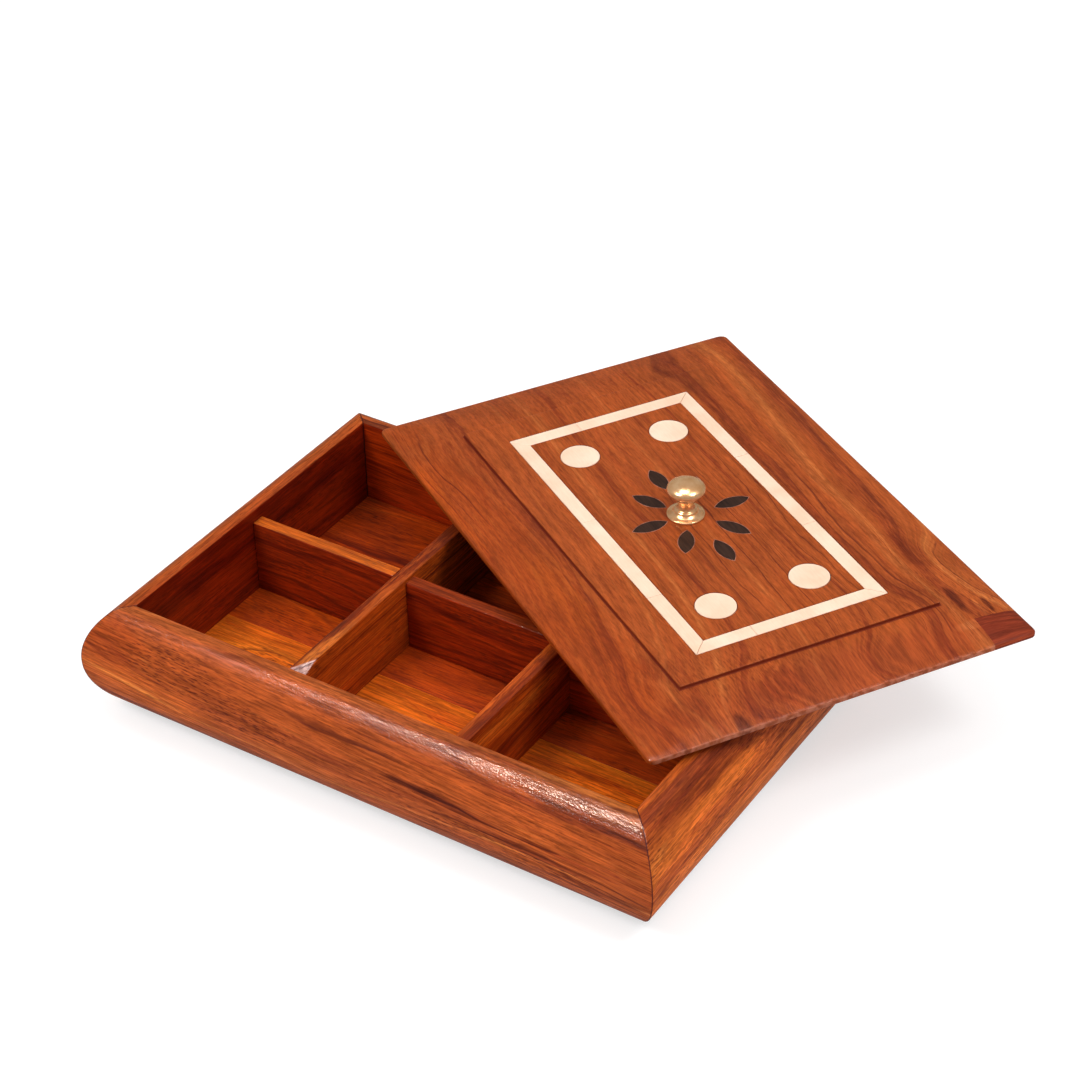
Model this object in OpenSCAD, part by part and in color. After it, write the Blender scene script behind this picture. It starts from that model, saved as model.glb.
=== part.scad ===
// Wooden spice box with six compartments and an inlaid lid that lifts off.
// Millimetres, +Z up. The origin is the centre of the underside of the base.
// X runs along the front rail, Y from the front rail to the back rail.
// The lid lies askew across the rim, carried by the locating panel under it.

/* [Box frame] */
// Clear length between the left and right rails
inner_l = 220; // [210:1:240]
// Clear width between the front and back rails
inner_w = 147; // [140:1:160]
// Height from the table to the rim
box_h = 47.5; // [44:0.5:56]
// How far the rails swell out past the inner faces
bulge_w = 16.4; // [15:0.1:18]
// Depth of the widest line of the rails below the rim
bulge_drop = 22.2; // [21:0.1:23]
// Radius of the outer face above its widest line
upper_r = 27.5; // [26:0.5:30]
// Radius of the outer face below its widest line
lower_r = 29; // [28:0.5:32]

/* [Base and floor] */
// Thickness of the dark base plate
base_t = 3; // [2.5:0.5:4]
// How far the base plate reaches past the inner faces
base_reach = 3.2; // [3.2:0.1:5]
// Thickness of the two floor boards
floor_t = 7; // [6:0.5:9]
// Width of the front floor board
front_board_w = 51.5; // [30:0.5:100]
// Diameter of the pins that hold the base plate
pin_d = 1.6; // [1.2:0.1:2]
// Depth that the pins reach into the rails
pin_reach = 9; // [6:0.5:15]

/* [Dividers] */
// Thickness of the dividers
divider_t = 5.8; // [5:0.1:7]
// Depth of the dividers' tops below the rim
divider_drop = 5.3; // [4:0.1:8]
// Distance between the two long dividers, centre to centre
long_spacing = 74; // [68:1:80]
// Place of the middle of the two long dividers along X
long_shift = -2.3; // [-4:0.1:4]
// Place of the cross dividers along Y
cross_y = 1; // [-6:0.5:6]
// How much lower the middle cross divider stands
middle_drop = 1.2; // [0:0.1:2]
// Distance of the planed corner's back end from the front rail
planed_run = 16.2; // [12:0.1:20]

/* [Lid] */
// Length of the lid
lid_l = 235; // [232:1:240]
// Width of the lid
lid_w = 161; // [154:1:162]
// Thickness of the lid panel at the raised field
lid_t = 7.5; // [7:0.1:9]
// Width of the sloping margin around the raised field
margin_w = 26; // [24:0.5:28]
// Height of the step at the edge of the raised field
step_h = 1.4; // [1:0.1:2]
// Thickness of the lid's outer edge
edge_t = 2.4; // [2:0.1:3]
// Radius of the lid's corners
corner_r = 2.5; // [1:0.5:5]
// Thickness of the locating panel under the lid
locator_t = 2.4; // [2:0.1:3]
// Clearance between the locating panel and the rails when the lid is closed
locator_gap = 0.8; // [0.5:0.1:1.5]
// Length of the let-in corner patch, along the lid
patch_l = 14.5; // [12:0.5:20]
// Width of the let-in corner patch, across the lid
patch_w = 18.5; // [14:0.5:22]

/* [Lid resting place] */
// Middle of the lid along X
lid_x = 45.9; // [40:0.1:50]
// Middle of the lid along Y
lid_y = 74.4; // [60:0.1:80]
// Turn of the lid about the vertical
lid_turn = -31.3; // [-40:0.1:-20]
// Gap between the locating panel and the rim
seat_gap = 0.1; // [0.05:0.05:0.3]

/* [Inlay] */
// Length of the rectangle of strips, outside
band_l = 156; // [140:1:160]
// Width of the rectangle of strips, outside
band_w = 81; // [76:1:84]
// Width of a strip
strip_w = 6.3; // [5:0.1:7]
// Depth of all the inlay
inlay_t = 1.6; // [1:0.1:2.5]
// Clearance around each piece of inlay
inlay_gap = 0.1; // [0.05:0.05:0.2]
// Diameter of the discs
disc_d = 16; // [12:0.5:18]
// Place of the discs along the lid
disc_x = 55.5; // [50:0.5:58]
// Place of the discs across the lid
disc_y = 20; // [18:0.5:21]
// Length of a petal
petal_l = 15; // [12:0.5:16]
// Width of a petal
petal_w = 6.2; // [5:0.1:7]

/* [Knob] */
// Diameter of the knob's foot
foot_d = 15; // [13:0.1:17]
// Diameter of the knob's stem
stem_d = 7; // [6:0.1:8]
// Diameter of the knob's head
head_d = 15.2; // [13:0.1:17]
// Height of the knob's head
head_h = 7; // [6:0.1:8]
// Height of the knob
knob_h = 15.4; // [14:0.1:17]
// Diameter of the screw that holds the knob
screw_d = 3.5; // [3:0.1:4]
// Place of the knob along the lid, from its middle
knob_x = -1; // [-2:0.1:2]
// Place of the knob across the lid, from its middle
knob_y = -1.8; // [-2:0.1:2]

/* [Hidden] */
$fn = 96;
PETALS = 8;
FAR_STRIPS = 3;
NEAR_STRIPS = 3;
LEFT_STRIPS = 2;
RIGHT_STRIPS = 2;
DISCS = 4;

function numbered(stem, count) = [for (i = [1 : count]) str(stem, "_", i)];

// Small overlap that makes cuts and unions clean
eps = 1;

// Frame
mitre_run = bulge_w + eps;
widest_z = box_h - bulge_drop;
floor_z = base_t + floor_t;

// Dividers
divider_h = box_h - divider_drop - floor_z;
long_left_x = long_shift - long_spacing / 2;
long_right_x = long_shift + long_spacing / 2;
planed_tilt = 39.3;
planed_turn = -28.5;

// Base pins, set in the middle of the plate's overlap with the rails
pin_gap = 0.1;
pin_head_d = 2.4;
pin_head_t = 0.8;
pin_head_z = 0.2;
pin_out = base_reach / 2;
pin_x = 85;
pin_spots = concat(
    [for (x = [-pin_x, 0, pin_x], side = [-1, 1]) [x, side * (inner_w / 2 + pin_out)]],
    [for (side = [-1, 1]) [side * (inner_l / 2 + pin_out), 0]]
);

// Lid
lid_z = box_h + seat_gap + locator_t;
field_l = lid_l - 2 * margin_w;
field_w = lid_w - 2 * margin_w;
shoulder_z = lid_t - step_h;
margin_drop = shoulder_z - edge_t;
margin_r = (margin_w * margin_w + margin_drop * margin_drop) / (2 * margin_drop);

// Places where the strips of each side butt together, along the side
far_cuts = [-26.5, 26];
near_cuts = [-40, 14];
left_cuts = [-11];
right_cuts = [15];

// Petals: two far out along the lid, two across it and four on the slant
petal_far = 26.5;
petal_near = 18;
slant_x = 15;
slant_y = 10.3;
slant_turn = 31;
petal_spots = [
    [petal_far, 0, 0],
    [slant_x, slant_y, slant_turn],
    [0, petal_near, 90],
    [-slant_x, slant_y, 180 - slant_turn],
    [-petal_far, 0, 180],
    [-slant_x, -slant_y, 180 + slant_turn],
    [0, -petal_near, 270],
    [slant_x, -slant_y, 360 - slant_turn]
];
disc_spots = [[-disc_x, -disc_y], [-disc_x, disc_y], [disc_x, disc_y], [disc_x, -disc_y]];

// Knob and its screw
foot_t = 0.9;
collar_d = 9.6;
collar_z = 2.8;
bead_r = 0.9;
screw_gap = 0.1;
screw_head_d = 7;
screw_head_t = 2;
screw_reach = 7;

// ---------------------------------------------------------------- frame

// Half of a rail's outer face, an arc whose widest point lies at widest_z
module swell(radius) {
    translate([bulge_w - radius, widest_z]) circle(radius);
}

// Cross-section of a rail: x is out from the inner face, y is up
module rail_section() {
    intersection() {
        swell(upper_r);
        translate([0, widest_z]) square([mitre_run, bulge_drop]);
    }
    intersection() {
        swell(lower_r);
        translate([0, base_t]) square([mitre_run, widest_z - base_t]);
    }
}

// A rail with mitred ends that lies along X, its inner face at y = reach
module rail(length, reach, turn) {
    half = length / 2;
    difference() {
        rotate([0, 0, turn]) intersection() {
            translate([-half - mitre_run, reach, 0]) rotate([90, 0, 90])
                linear_extrude(length + 2 * mitre_run) rail_section();
            linear_extrude(box_h) polygon([
                [-half, reach],
                [half, reach],
                [half + mitre_run, reach + mitre_run],
                [-half - mitre_run, reach + mitre_run]
            ]);
        }
        pin_holes(base_t - eps, pin_reach + 2 * eps);
    }
}

module pin_holes(z, depth) {
    for (spot = pin_spots)
        translate([spot[0], spot[1], z]) cylinder(d = pin_d + 2 * pin_gap, h = depth);
}

module front_rail() {
    color("sienna") rail(inner_l, inner_w / 2, 180);
}

module back_rail() {
    color("sienna") rail(inner_l, inner_w / 2, 0);
}

module left_rail() {
    color("peru") rail(inner_w, inner_l / 2, 90);
}

module right_rail() {
    color("peru") rail(inner_w, inner_l / 2, -90);
}

// ---------------------------------------------------------------- base and floor

module base_plate() {
    length = inner_l + 2 * base_reach;
    width = inner_w + 2 * base_reach;
    color("maroon") difference() {
        translate([-length / 2, -width / 2, 0]) cube([length, width, base_t]);
        pin_holes(-eps, base_t + 2 * eps);
        for (spot = pin_spots)
            translate([spot[0], spot[1], -eps])
                cylinder(d = pin_head_d + 2 * pin_gap, h = pin_head_z + pin_head_t + eps);
    }
}

module base_pins() {
    shank_z = pin_head_z + pin_head_t;
    color("silver") for (spot = pin_spots) translate([spot[0], spot[1], 0]) {
        translate([0, 0, pin_head_z]) cylinder(d = pin_head_d, h = pin_head_t);
        translate([0, 0, pin_head_z]) cylinder(d = pin_d, h = base_t + pin_reach - pin_head_z);
    }
}

module floor_board(from_y, width) {
    translate([-inner_l / 2, from_y, base_t]) cube([inner_l, width, floor_t]);
}

module floor_board_front() {
    color("chocolate") floor_board(-inner_w / 2, front_board_w);
}

module floor_board_back() {
    color("saddlebrown") floor_board(-inner_w / 2 + front_board_w, inner_w - front_board_w);
}

// ---------------------------------------------------------------- dividers

// A divider that runs from the front rail to the back rail
module long_divider(x) {
    translate([x - divider_t / 2, -inner_w / 2, floor_z]) cube([divider_t, inner_w, divider_h]);
}

// The front corner of its right-hand top edge is planed off
module long_divider_left() {
    color("peru") difference() {
        long_divider(long_left_x);
        translate([long_left_x + divider_t / 2, planed_run - inner_w / 2, floor_z + divider_h])
            rotate([0, planed_tilt, planed_turn])
            translate([-planed_run, -2 * planed_run, 0])
            cube([2 * planed_run, 4 * planed_run, planed_run]);
    }
}

module long_divider_right() {
    color("peru") long_divider(long_right_x);
}

// A divider between the faces at from_x and to_x
module cross_divider(from_x, to_x, height) {
    translate([from_x, cross_y - divider_t / 2, floor_z]) cube([to_x - from_x, divider_t, height]);
}

module cross_divider_left() {
    color("sienna") cross_divider(-inner_l / 2, long_left_x - divider_t / 2, divider_h);
}

module cross_divider_middle() {
    from_x = long_left_x + divider_t / 2;
    to_x = long_right_x - divider_t / 2;
    color("sienna") cross_divider(from_x, to_x, divider_h - middle_drop);
}

module cross_divider_right() {
    color("sienna") cross_divider(long_right_x + divider_t / 2, inner_l / 2, divider_h);
}

// ---------------------------------------------------------------- lid

// Puts what is drawn about the lid's middle, its underside at z = 0, where the lid rests
module on_lid() {
    translate([lid_x, lid_y, lid_z]) rotate([0, 0, lid_turn]) children();
}

// Cross-section of the lid panel: x is across, y is up
module lid_section(field) {
    half = field / 2;
    translate([-half, 0]) square([field, lid_t]);
    for (side = [-1, 1]) intersection() {
        translate([side * half, shoulder_z - margin_r]) circle(margin_r);
        translate([side * (half + margin_w / 2) - margin_w / 2 - eps, 0])
            square([margin_w + 2 * eps, shoulder_z]);
    }
}

module lid_bar(field, length) {
    translate([-length / 2, 0, 0]) rotate([90, 0, 90]) linear_extrude(length) lid_section(field);
}

module rounded_rectangle(length, width, radius) {
    square([length - 2 * radius, width], center = true);
    square([length, width - 2 * radius], center = true);
    for (x = [-1, 1], y = [-1, 1])
        translate([x * (length / 2 - radius), y * (width / 2 - radius)]) circle(radius);
}

// The lid panel before anything is let into it
module fielded_panel() {
    intersection() {
        lid_bar(field_w, lid_l + 2 * eps);
        rotate([0, 0, 90]) lid_bar(field_l, lid_w + 2 * eps);
        linear_extrude(lid_t) rounded_rectangle(lid_l, lid_w, corner_r);
    }
}

module patch_block() {
    translate([lid_l / 2 - patch_l, lid_w / 2 - patch_w, -eps])
        cube([patch_l + eps, patch_w + eps, lid_t + 2 * eps]);
}

// Opens a pocket of the inlay's depth under a flat outline
module pocket() {
    translate([0, 0, lid_t - inlay_t]) linear_extrude(inlay_t + eps) children();
}

module band_outline(grow) {
    difference() {
        square([band_l + 2 * grow, band_w + 2 * grow], center = true);
        square([band_l - 2 * strip_w - 2 * grow, band_w - 2 * strip_w - 2 * grow], center = true);
    }
}

// A leaf shape where two equal circles overlap
module petal_outline(grow) {
    length = petal_l + 2 * grow;
    width = petal_w + 2 * grow;
    radius = (length * length + width * width) / (4 * width);
    intersection_for(side = [-1, 1]) translate([0, side * (radius - width / 2)]) circle(radius);
}

module at_petal(i) {
    spot = petal_spots[i - 1];
    translate([spot[0], spot[1]]) rotate([0, 0, spot[2]]) children();
}

module lid_panel() {
    color("brown") on_lid() difference() {
        fielded_panel();
        patch_block();
        pocket() band_outline(inlay_gap);
        pocket() for (spot = disc_spots) translate(spot) circle(d = disc_d + 2 * inlay_gap);
        pocket() for (i = [1 : PETALS]) at_petal(i) petal_outline(inlay_gap);
        screw_hole(lid_t);
    }
}

module lid_corner_patch() {
    color("maroon") on_lid() intersection() {
        fielded_panel();
        patch_block();
    }
}

// Places what is drawn about the knob's axis
module at_knob() {
    translate([knob_x, knob_y, 0]) children();
}

// Hole for the knob's screw through a panel of that thickness
module screw_hole(thickness) {
    at_knob() translate([0, 0, -eps]) cylinder(d = screw_d + 2 * screw_gap, h = thickness + 2 * eps);
}

// Countersunk cone of the knob's screw, from z = 0 upwards
module screw_cone(grow) {
    cylinder(d1 = screw_head_d + 2 * grow, d2 = screw_d + 2 * grow, h = screw_head_t);
}

module locating_panel() {
    length = inner_l - 2 * locator_gap;
    width = inner_w - 2 * locator_gap;
    color("sienna") on_lid() translate([0, 0, -locator_t]) difference() {
        translate([-length / 2, -width / 2, 0]) cube([length, width, locator_t]);
        screw_hole(locator_t);
        at_knob() screw_cone(screw_gap);
    }
}

// ---------------------------------------------------------------- inlay

// Strip i of a side: it runs between two cuts and is mitred at the side's ends
module strip(i, side_l, reach, cuts, turn) {
    half = side_l / 2;
    ends = concat([-half], cuts, [half]);
    from = ends[i - 1];
    to = ends[i];
    from_in = from == -half ? from + strip_w : from;
    to_in = to == half ? to - strip_w : to;
    color("antiquewhite") on_lid() rotate([0, 0, turn]) translate([0, 0, lid_t - inlay_t])
        linear_extrude(inlay_t) polygon([
            [from, reach],
            [to, reach],
            [to_in, reach - strip_w],
            [from_in, reach - strip_w]
        ]);
}

module disc(i) {
    color("antiquewhite") on_lid() translate([disc_spots[i - 1][0], disc_spots[i - 1][1], lid_t - inlay_t])
        cylinder(d = disc_d, h = inlay_t);
}

module petal(i) {
    color("black") on_lid() translate([0, 0, lid_t - inlay_t])
        linear_extrude(inlay_t) at_petal(i) petal_outline(0);
}

// ---------------------------------------------------------------- knob

// Half section of the knob: x is out from its axis, y is up from the lid
module knob_section() {
    head_z = knob_h - head_h / 2;
    square([foot_d / 2, foot_t]);
    polygon([[0, 0], [foot_d / 2 - foot_t, foot_t], [collar_d / 2, collar_z], [0, collar_z]]);
    square([stem_d / 2, head_z]);
    translate([stem_d / 2, knob_h - head_h - bead_r / 2]) circle(bead_r);
    intersection() {
        translate([0, head_z]) scale([head_d / head_h, 1]) circle(d = head_h);
        square([head_d, knob_h + eps]);
    }
}

module knob() {
    color("gold") on_lid() at_knob() translate([0, 0, lid_t]) difference() {
        rotate_extrude() knob_section();
        translate([0, 0, -eps]) cylinder(d = screw_d + screw_gap, h = screw_reach + 2 * eps);
    }
}

module knob_screw() {
    color("silver") on_lid() at_knob() translate([0, 0, -locator_t]) {
        screw_cone(0);
        cylinder(d = screw_d, h = locator_t + lid_t + screw_reach);
    }
}

front_rail();
back_rail();
left_rail();
right_rail();
base_plate();
base_pins();
floor_board_front();
floor_board_back();
long_divider_left();
long_divider_right();
cross_divider_left();
cross_divider_middle();
cross_divider_right();
lid_panel();
lid_corner_patch();
locating_panel();
knob();
knob_screw();
for (i = [1 : FAR_STRIPS])
    strip(i, band_l, band_w / 2, far_cuts, 0);
for (i = [1 : NEAR_STRIPS])
    strip(i, band_l, band_w / 2, near_cuts, 180);
for (i = [1 : LEFT_STRIPS])
    strip(i, band_w, band_l / 2, left_cuts, 90);
for (i = [1 : RIGHT_STRIPS])
    strip(i, band_w, band_l / 2, right_cuts, -90);
for (i = [1 : DISCS])
    disc(i);
for (i = [1 : PETALS])
    petal(i);
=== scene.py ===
"""Looks of the wooden spice box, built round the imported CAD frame. Lengths are in metres."""
import math

import bmesh
import bpy
from mathutils import Euler, Matrix, Vector, noise


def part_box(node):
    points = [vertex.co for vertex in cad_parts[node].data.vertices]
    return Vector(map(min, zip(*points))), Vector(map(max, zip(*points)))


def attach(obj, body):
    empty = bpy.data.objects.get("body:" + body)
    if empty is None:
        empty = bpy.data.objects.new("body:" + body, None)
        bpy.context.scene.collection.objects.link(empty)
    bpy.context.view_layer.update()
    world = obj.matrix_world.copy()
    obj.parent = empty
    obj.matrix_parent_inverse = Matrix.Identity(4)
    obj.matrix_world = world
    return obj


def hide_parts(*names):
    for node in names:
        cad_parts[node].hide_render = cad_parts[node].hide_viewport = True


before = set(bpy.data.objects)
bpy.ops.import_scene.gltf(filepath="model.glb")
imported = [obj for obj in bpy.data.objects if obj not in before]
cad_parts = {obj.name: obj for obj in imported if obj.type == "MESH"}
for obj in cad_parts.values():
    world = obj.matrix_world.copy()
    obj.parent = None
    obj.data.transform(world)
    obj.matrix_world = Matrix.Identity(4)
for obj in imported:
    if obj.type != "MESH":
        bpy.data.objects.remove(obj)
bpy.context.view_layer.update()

MM = 0.001
# Turn of wood whose grain runs along Y
ACROSS = (0, 0, math.pi / 2)

# ---- sizes shared with the frame

FRONT_LO, FRONT_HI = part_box("front_rail")
LEFT_LO, LEFT_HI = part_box("left_rail")
BULGE = FRONT_HI.y - FRONT_LO.y
RIM_Z = FRONT_HI.z
BASE_Z = FRONT_LO.z
INNER_L = FRONT_HI.x - FRONT_LO.x - 2 * BULGE
INNER_W = LEFT_HI.y - LEFT_LO.y - 2 * BULGE

# Outer face of the rails: its widest height, and its radii above and below that
WIDEST_Z = RIM_Z - 22.2 * MM
UPPER_R = 27.5 * MM
LOWER_R = 29 * MM

# Lid: width of its sloping margins, height of the step round its field, thickness and corner radius at the
# edge, and radius of the soft hips halfway up the margins
MARGIN_W = 26 * MM
STEP_H = 1.4 * MM
EDGE_T = 2.4 * MM
CORNER_R = 2.5 * MM
HIP_R = 15 * MM

# Inlay: gap round the band of strips, between its pieces and round the discs, and both sides of the ring of
# filler round a petal
INLAY_GAP = 0.1 * MM
JOINT_GAP = 0.1 * MM
DISC_GAP = 0.2 * MM
FILLER_IN = 0.02 * MM
FILLER_OUT = 0.28 * MM

# Unevenness left by hand finishing: of the rails' faces, of their rim down to RIM_FADE below it, and of the
# lid's margins; and for boards the size of the mesh cells and of the waves
RAIL_DRIFT = 0.16 * MM
RIM_DIP = 0.20 * MM
RIM_FADE = 4 * MM
MARGIN_DIP = 0.14 * MM
BOARD_CELL = 9 * MM
BOARD_WAVE = 25 * MM


def middle(node):
    """Middle of a CAD node's box."""
    lo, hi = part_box(node)
    return (lo + hi) / 2


def lid_matrix():
    """The lid's own frame: its middle at the underside of the panel, X along its length."""
    centre = middle("locating_panel")
    along = middle("disc_4") - middle("disc_1")
    turn = math.atan2(along.y, along.x)
    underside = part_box("lid_panel")[0].z
    return Matrix.Translation((centre.x, centre.y, underside)) @ Matrix.Rotation(turn, 4, "Z")


LID = lid_matrix()
TO_LID = LID.inverted()
LID_TURN = LID.to_euler().z


def lid_points(node):
    """A CAD node's vertices in the lid's own frame."""
    return [TO_LID @ v.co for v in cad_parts[node].data.vertices]


def span(points, axis):
    """Least and greatest value of the points along an axis."""
    values = [p[axis] for p in points]
    return min(values), max(values)


def numbered(stem):
    """Names of the nodes that are this stem and a number."""
    return sorted(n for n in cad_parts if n.rsplit("_", 1)[0] == stem)


STRIPS = [n for side in ("far", "near", "left", "right") for n in numbered("strip_" + side)]
DISCS = numbered("disc")
PETALS = numbered("petal")
PANEL = lid_points("lid_panel")
LID_L = 2 * span(PANEL, 0)[1]
LID_W = 2 * span(PANEL, 1)[1]
LID_T = span(PANEL, 2)[1]
INLAY_Z = span(lid_points("disc_1"), 2)[0]

# ---- mesh helpers


def new_object(name, data):
    """A mesh, camera or light in the scene."""
    made = bpy.data.objects.new(name, data)
    bpy.context.scene.collection.objects.link(made)
    return made


def new_mesh(name, bm):
    """The mesh of a bmesh, which is freed."""
    mesh = bpy.data.meshes.new(name)
    bm.to_mesh(mesh)
    bm.free()
    return mesh


def finish_mesh(name, bm, body, nodes, materials, sharp, matrix=None):
    """Turns a bmesh into a piece that stands for CAD nodes, placed by the matrix if there is one.

    Edges over that many degrees stay sharp."""
    if matrix:
        bmesh.ops.transform(bm, matrix=matrix, verts=bm.verts)
    bmesh.ops.recalc_face_normals(bm, faces=bm.faces)
    mesh = new_mesh(name, bm)
    mesh.shade_smooth()
    mesh.set_sharp_from_angle(angle=math.radians(sharp))
    for material in materials if isinstance(materials, list) else [materials]:
        mesh.materials.append(material)
    piece = new_object(name, mesh)
    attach(piece, body)
    if nodes:
        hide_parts(*nodes)


def bend(before, corner, after, steps):
    """Points of a quadratic curve that eases a corner."""
    points = []
    for i in range(steps + 1):
        t = i / steps
        a = Vector(before).lerp(Vector(corner), t)
        b = Vector(corner).lerp(Vector(after), t)
        points.append(a.lerp(b, t))
    return points


def circle(x, y, radius, steps):
    """Points round a circle."""
    angles = [2 * math.pi * i / steps for i in range(steps)]
    return [(x + radius * math.cos(a), y + radius * math.sin(a)) for a in angles]


def bridge(bm, rings):
    """Faces between closed rings of vertices, one ring after the other."""
    for low, high in zip(rings, rings[1:]):
        for i in range(len(low)):
            j = (i + 1) % len(low)
            bm.faces.new((low[i], low[j], high[j], high[i]))


def halve(bm, point, normal, **settings):
    """Cuts every face along a plane."""
    geometry = list(bm.verts) + list(bm.edges) + list(bm.faces)
    return bmesh.ops.bisect_plane(bm, geom=geometry, plane_co=point, plane_no=normal, **settings)


def wobble(bm, size, amount, seed):
    """Slight unevenness of hand-finished wood, mostly inwards."""
    for v in bm.verts:
        n = noise.noise(Vector(v.co) / size + Vector((seed, seed * 1.7, seed * 0.3)))
        v.co += v.normal * amount * (n - 0.5)


def boolean(target, cutter, operation):
    """Mesh of the exact boolean of target with cutter."""
    modifier = target.modifiers.new("cut", "BOOLEAN")
    modifier.operation = operation
    modifier.solver = "EXACT"
    modifier.object = cutter
    evaluated = target.evaluated_get(bpy.context.evaluated_depsgraph_get())
    mesh = bpy.data.meshes.new_from_object(evaluated)
    target.modifiers.clear()
    return mesh


def scratch(name, bm):
    """A loose object to cut with, which is removed after use."""
    bmesh.ops.recalc_face_normals(bm, faces=bm.faces)
    return new_object(name, new_mesh(name, bm))


# ---- materials


def srgb(r, g, b):
    """Linear colour of an 8-bit sRGB one."""
    def linear(c):
        c /= 255
        return c / 12.92 if c <= 0.04045 else ((c + 0.055) / 1.055) ** 2.4
    return (linear(r), linear(g), linear(b), 1.0)


class Graph:
    """A material's node tree, with one short method per kind of node."""

    def __init__(self, name):
        self.material = bpy.data.materials.new(name)
        self.material.use_nodes = True
        self.tree = self.material.node_tree
        self.tree.nodes.clear()
        self.shader = self.node("ShaderNodeBsdfPrincipled")
        output = self.node("ShaderNodeOutputMaterial")
        self.link(self.shader.outputs[0], output.inputs[0])

    def node(self, kind, inputs=(), **settings):
        """A new node with those settings, and its sockets linked or set to those inputs."""
        made = self.tree.nodes.new(kind)
        for key, value in settings.items():
            setattr(made, key, value)
        for key, value in dict(inputs).items():
            self.put(made.inputs[key], value)
        return made

    def link(self, source, target):
        self.tree.links.new(source, target)

    def put(self, target, value):
        """Links a socket, or sets a plain value."""
        if isinstance(value, bpy.types.NodeSocket):
            self.link(value, target)
        else:
            target.default_value = value

    def set(self, **values):
        """The shader's own sockets: links what varies over the surface, and sets what doesn't."""
        for key, value in values.items():
            self.put(self.shader.inputs[key.replace("_", " ")], value)

    def coordinates(self, turn=(0, 0, 0), offset=(0, 0, 0), unit=0.01):
        """Object coordinates in centimetres, turned so that X is along the grain."""
        source = self.node("ShaderNodeTexCoord").outputs["Object"]
        inputs = {"Vector": source, "Rotation": turn, "Location": offset, "Scale": (unit, unit, unit)}
        return self.node("ShaderNodeMapping", inputs, vector_type="TEXTURE").outputs[0]

    def math(self, operation, a, b=0.0):
        return self.node("ShaderNodeMath", {0: a, 1: b}, operation=operation).outputs[0]

    def add(self, a, b):
        return self.math("ADD", a, b)

    def less(self, a, b):
        """a less b."""
        return self.math("SUBTRACT", a, b)

    def times(self, product, *factors):
        """The product of two or more values."""
        for factor in factors:
            product = self.math("MULTIPLY", product, factor)
        return product

    def vector(self, operation, a, b=(0, 0, 0)):
        inputs = {0: a, "Scale" if operation == "SCALE" else 1: b}
        made = self.node("ShaderNodeVectorMath", inputs, operation=operation)
        return made.outputs["Value" if operation in ("LENGTH", "DOT_PRODUCT") else "Vector"]

    def scale(self, vector, x, y, z):
        return self.vector("MULTIPLY", vector, (x, y, z))

    def split(self, vector):
        """The x, y and z of a vector."""
        return self.node("ShaderNodeSeparateXYZ", {0: vector}).outputs

    def noise(self, place, scale=1.0, detail=2.0, roughness=0.5, dimensions="3D", socket="Vector"):
        inputs = {socket: place, "Scale": scale, "Detail": detail, "Roughness": roughness}
        return self.node("ShaderNodeTexNoise", inputs, noise_dimensions=dimensions).outputs[0]

    def line_noise(self, w, scale, detail=2.0, roughness=0.5):
        return self.noise(w, scale, detail, roughness, "1D", "W")

    def cells(self, place):
        """Distance to the nearest of many random points."""
        inputs = {"Vector": place, "Scale": 1.0}
        made = self.node("ShaderNodeTexVoronoi", inputs, voronoi_dimensions="3D", feature="F1")
        return made.outputs["Distance"]

    def step(self, value, low, high, to_low=0.0, to_high=1.0):
        """A smooth step from to_low, where the value is low, to to_high, where it is high."""
        inputs = {"Value": value, "From Min": low, "From Max": high, "To Min": to_low, "To Max": to_high}
        return self.node("ShaderNodeMapRange", inputs, interpolation_type="SMOOTHSTEP").outputs["Result"]

    def ramp(self, value, stops):
        """A colour from (place, colour) stops."""
        made = self.node("ShaderNodeValToRGB", {0: value})
        elements = made.color_ramp.elements
        elements[0].position, elements[0].color = stops[0]
        elements[1].position, elements[1].color = stops[-1]
        for place, colour in stops[1:-1]:
            elements.new(place).color = colour
        return made.outputs[0]

    def mix(self, factor, a, b, blend="MIX"):
        inputs = {"Factor": factor, "A": a, "B": b}
        return self.node("ShaderNodeMix", inputs, data_type="RGBA", blend_type=blend).outputs["Result"]

    def tint(self, mask, colour, rgb):
        """The colour, multiplied by rgb where the mask is 1."""
        return self.mix(mask, colour, self.mix(1.0, colour, (*rgb, 1.0), "MULTIPLY"))

    def grey(self, value):
        """A grey colour of that value."""
        return self.node("ShaderNodeCombineColor", {0: value, 1: value, 2: value}).outputs[0]

    def bump(self, height, distance, strength=1.0):
        inputs = {"Height": height, "Distance": distance, "Strength": strength}
        return self.node("ShaderNodeBump", inputs).outputs[0]


# Tones of the wood in 8-bit sRGB, from its dark veins to its palest bands
TONES = {
    "vein": (80, 24, 8),
    "dark": (126, 46, 13),
    "main": (168, 76, 25),
    "pale": (194, 108, 46),
    "pore": (70, 20, 8),
}
# Lines of glue at the mitres and a darker band along the rails' foot, painted shade on the step round the
# lid's field, and a painted highlight with chipped lacquer at the lid's ends
GLUE_AND_FOOT_LINE = srgb(58, 18, 24)
STEP_SHADE = srgb(106, 32, 15)
EDGE_SHEEN_AND_WEAR = srgb(206, 132, 104)
# What multiplies the colour in a figure's dark and pale spots
DARK_SPOT = (0.42, 0.34, 0.34)
PALE_SPOT = (1.15, 1.35, 1.55)

# The parts of a figure: see wood()
NO_FIGURE = {"knots": (), "veins": (), "flecks": (), "dark": (), "pale": (), "tints": ()}


def wander(g, place, scales, amount):
    """A smooth random shift of that many centimetres either way."""
    cloud = g.noise(g.scale(place, *scales), roughness=0.55).node.outputs["Color"]
    return g.vector("SCALE", g.vector("SUBTRACT", cloud, (0.5, 0.5, 0.5)), 2 * amount)


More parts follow.
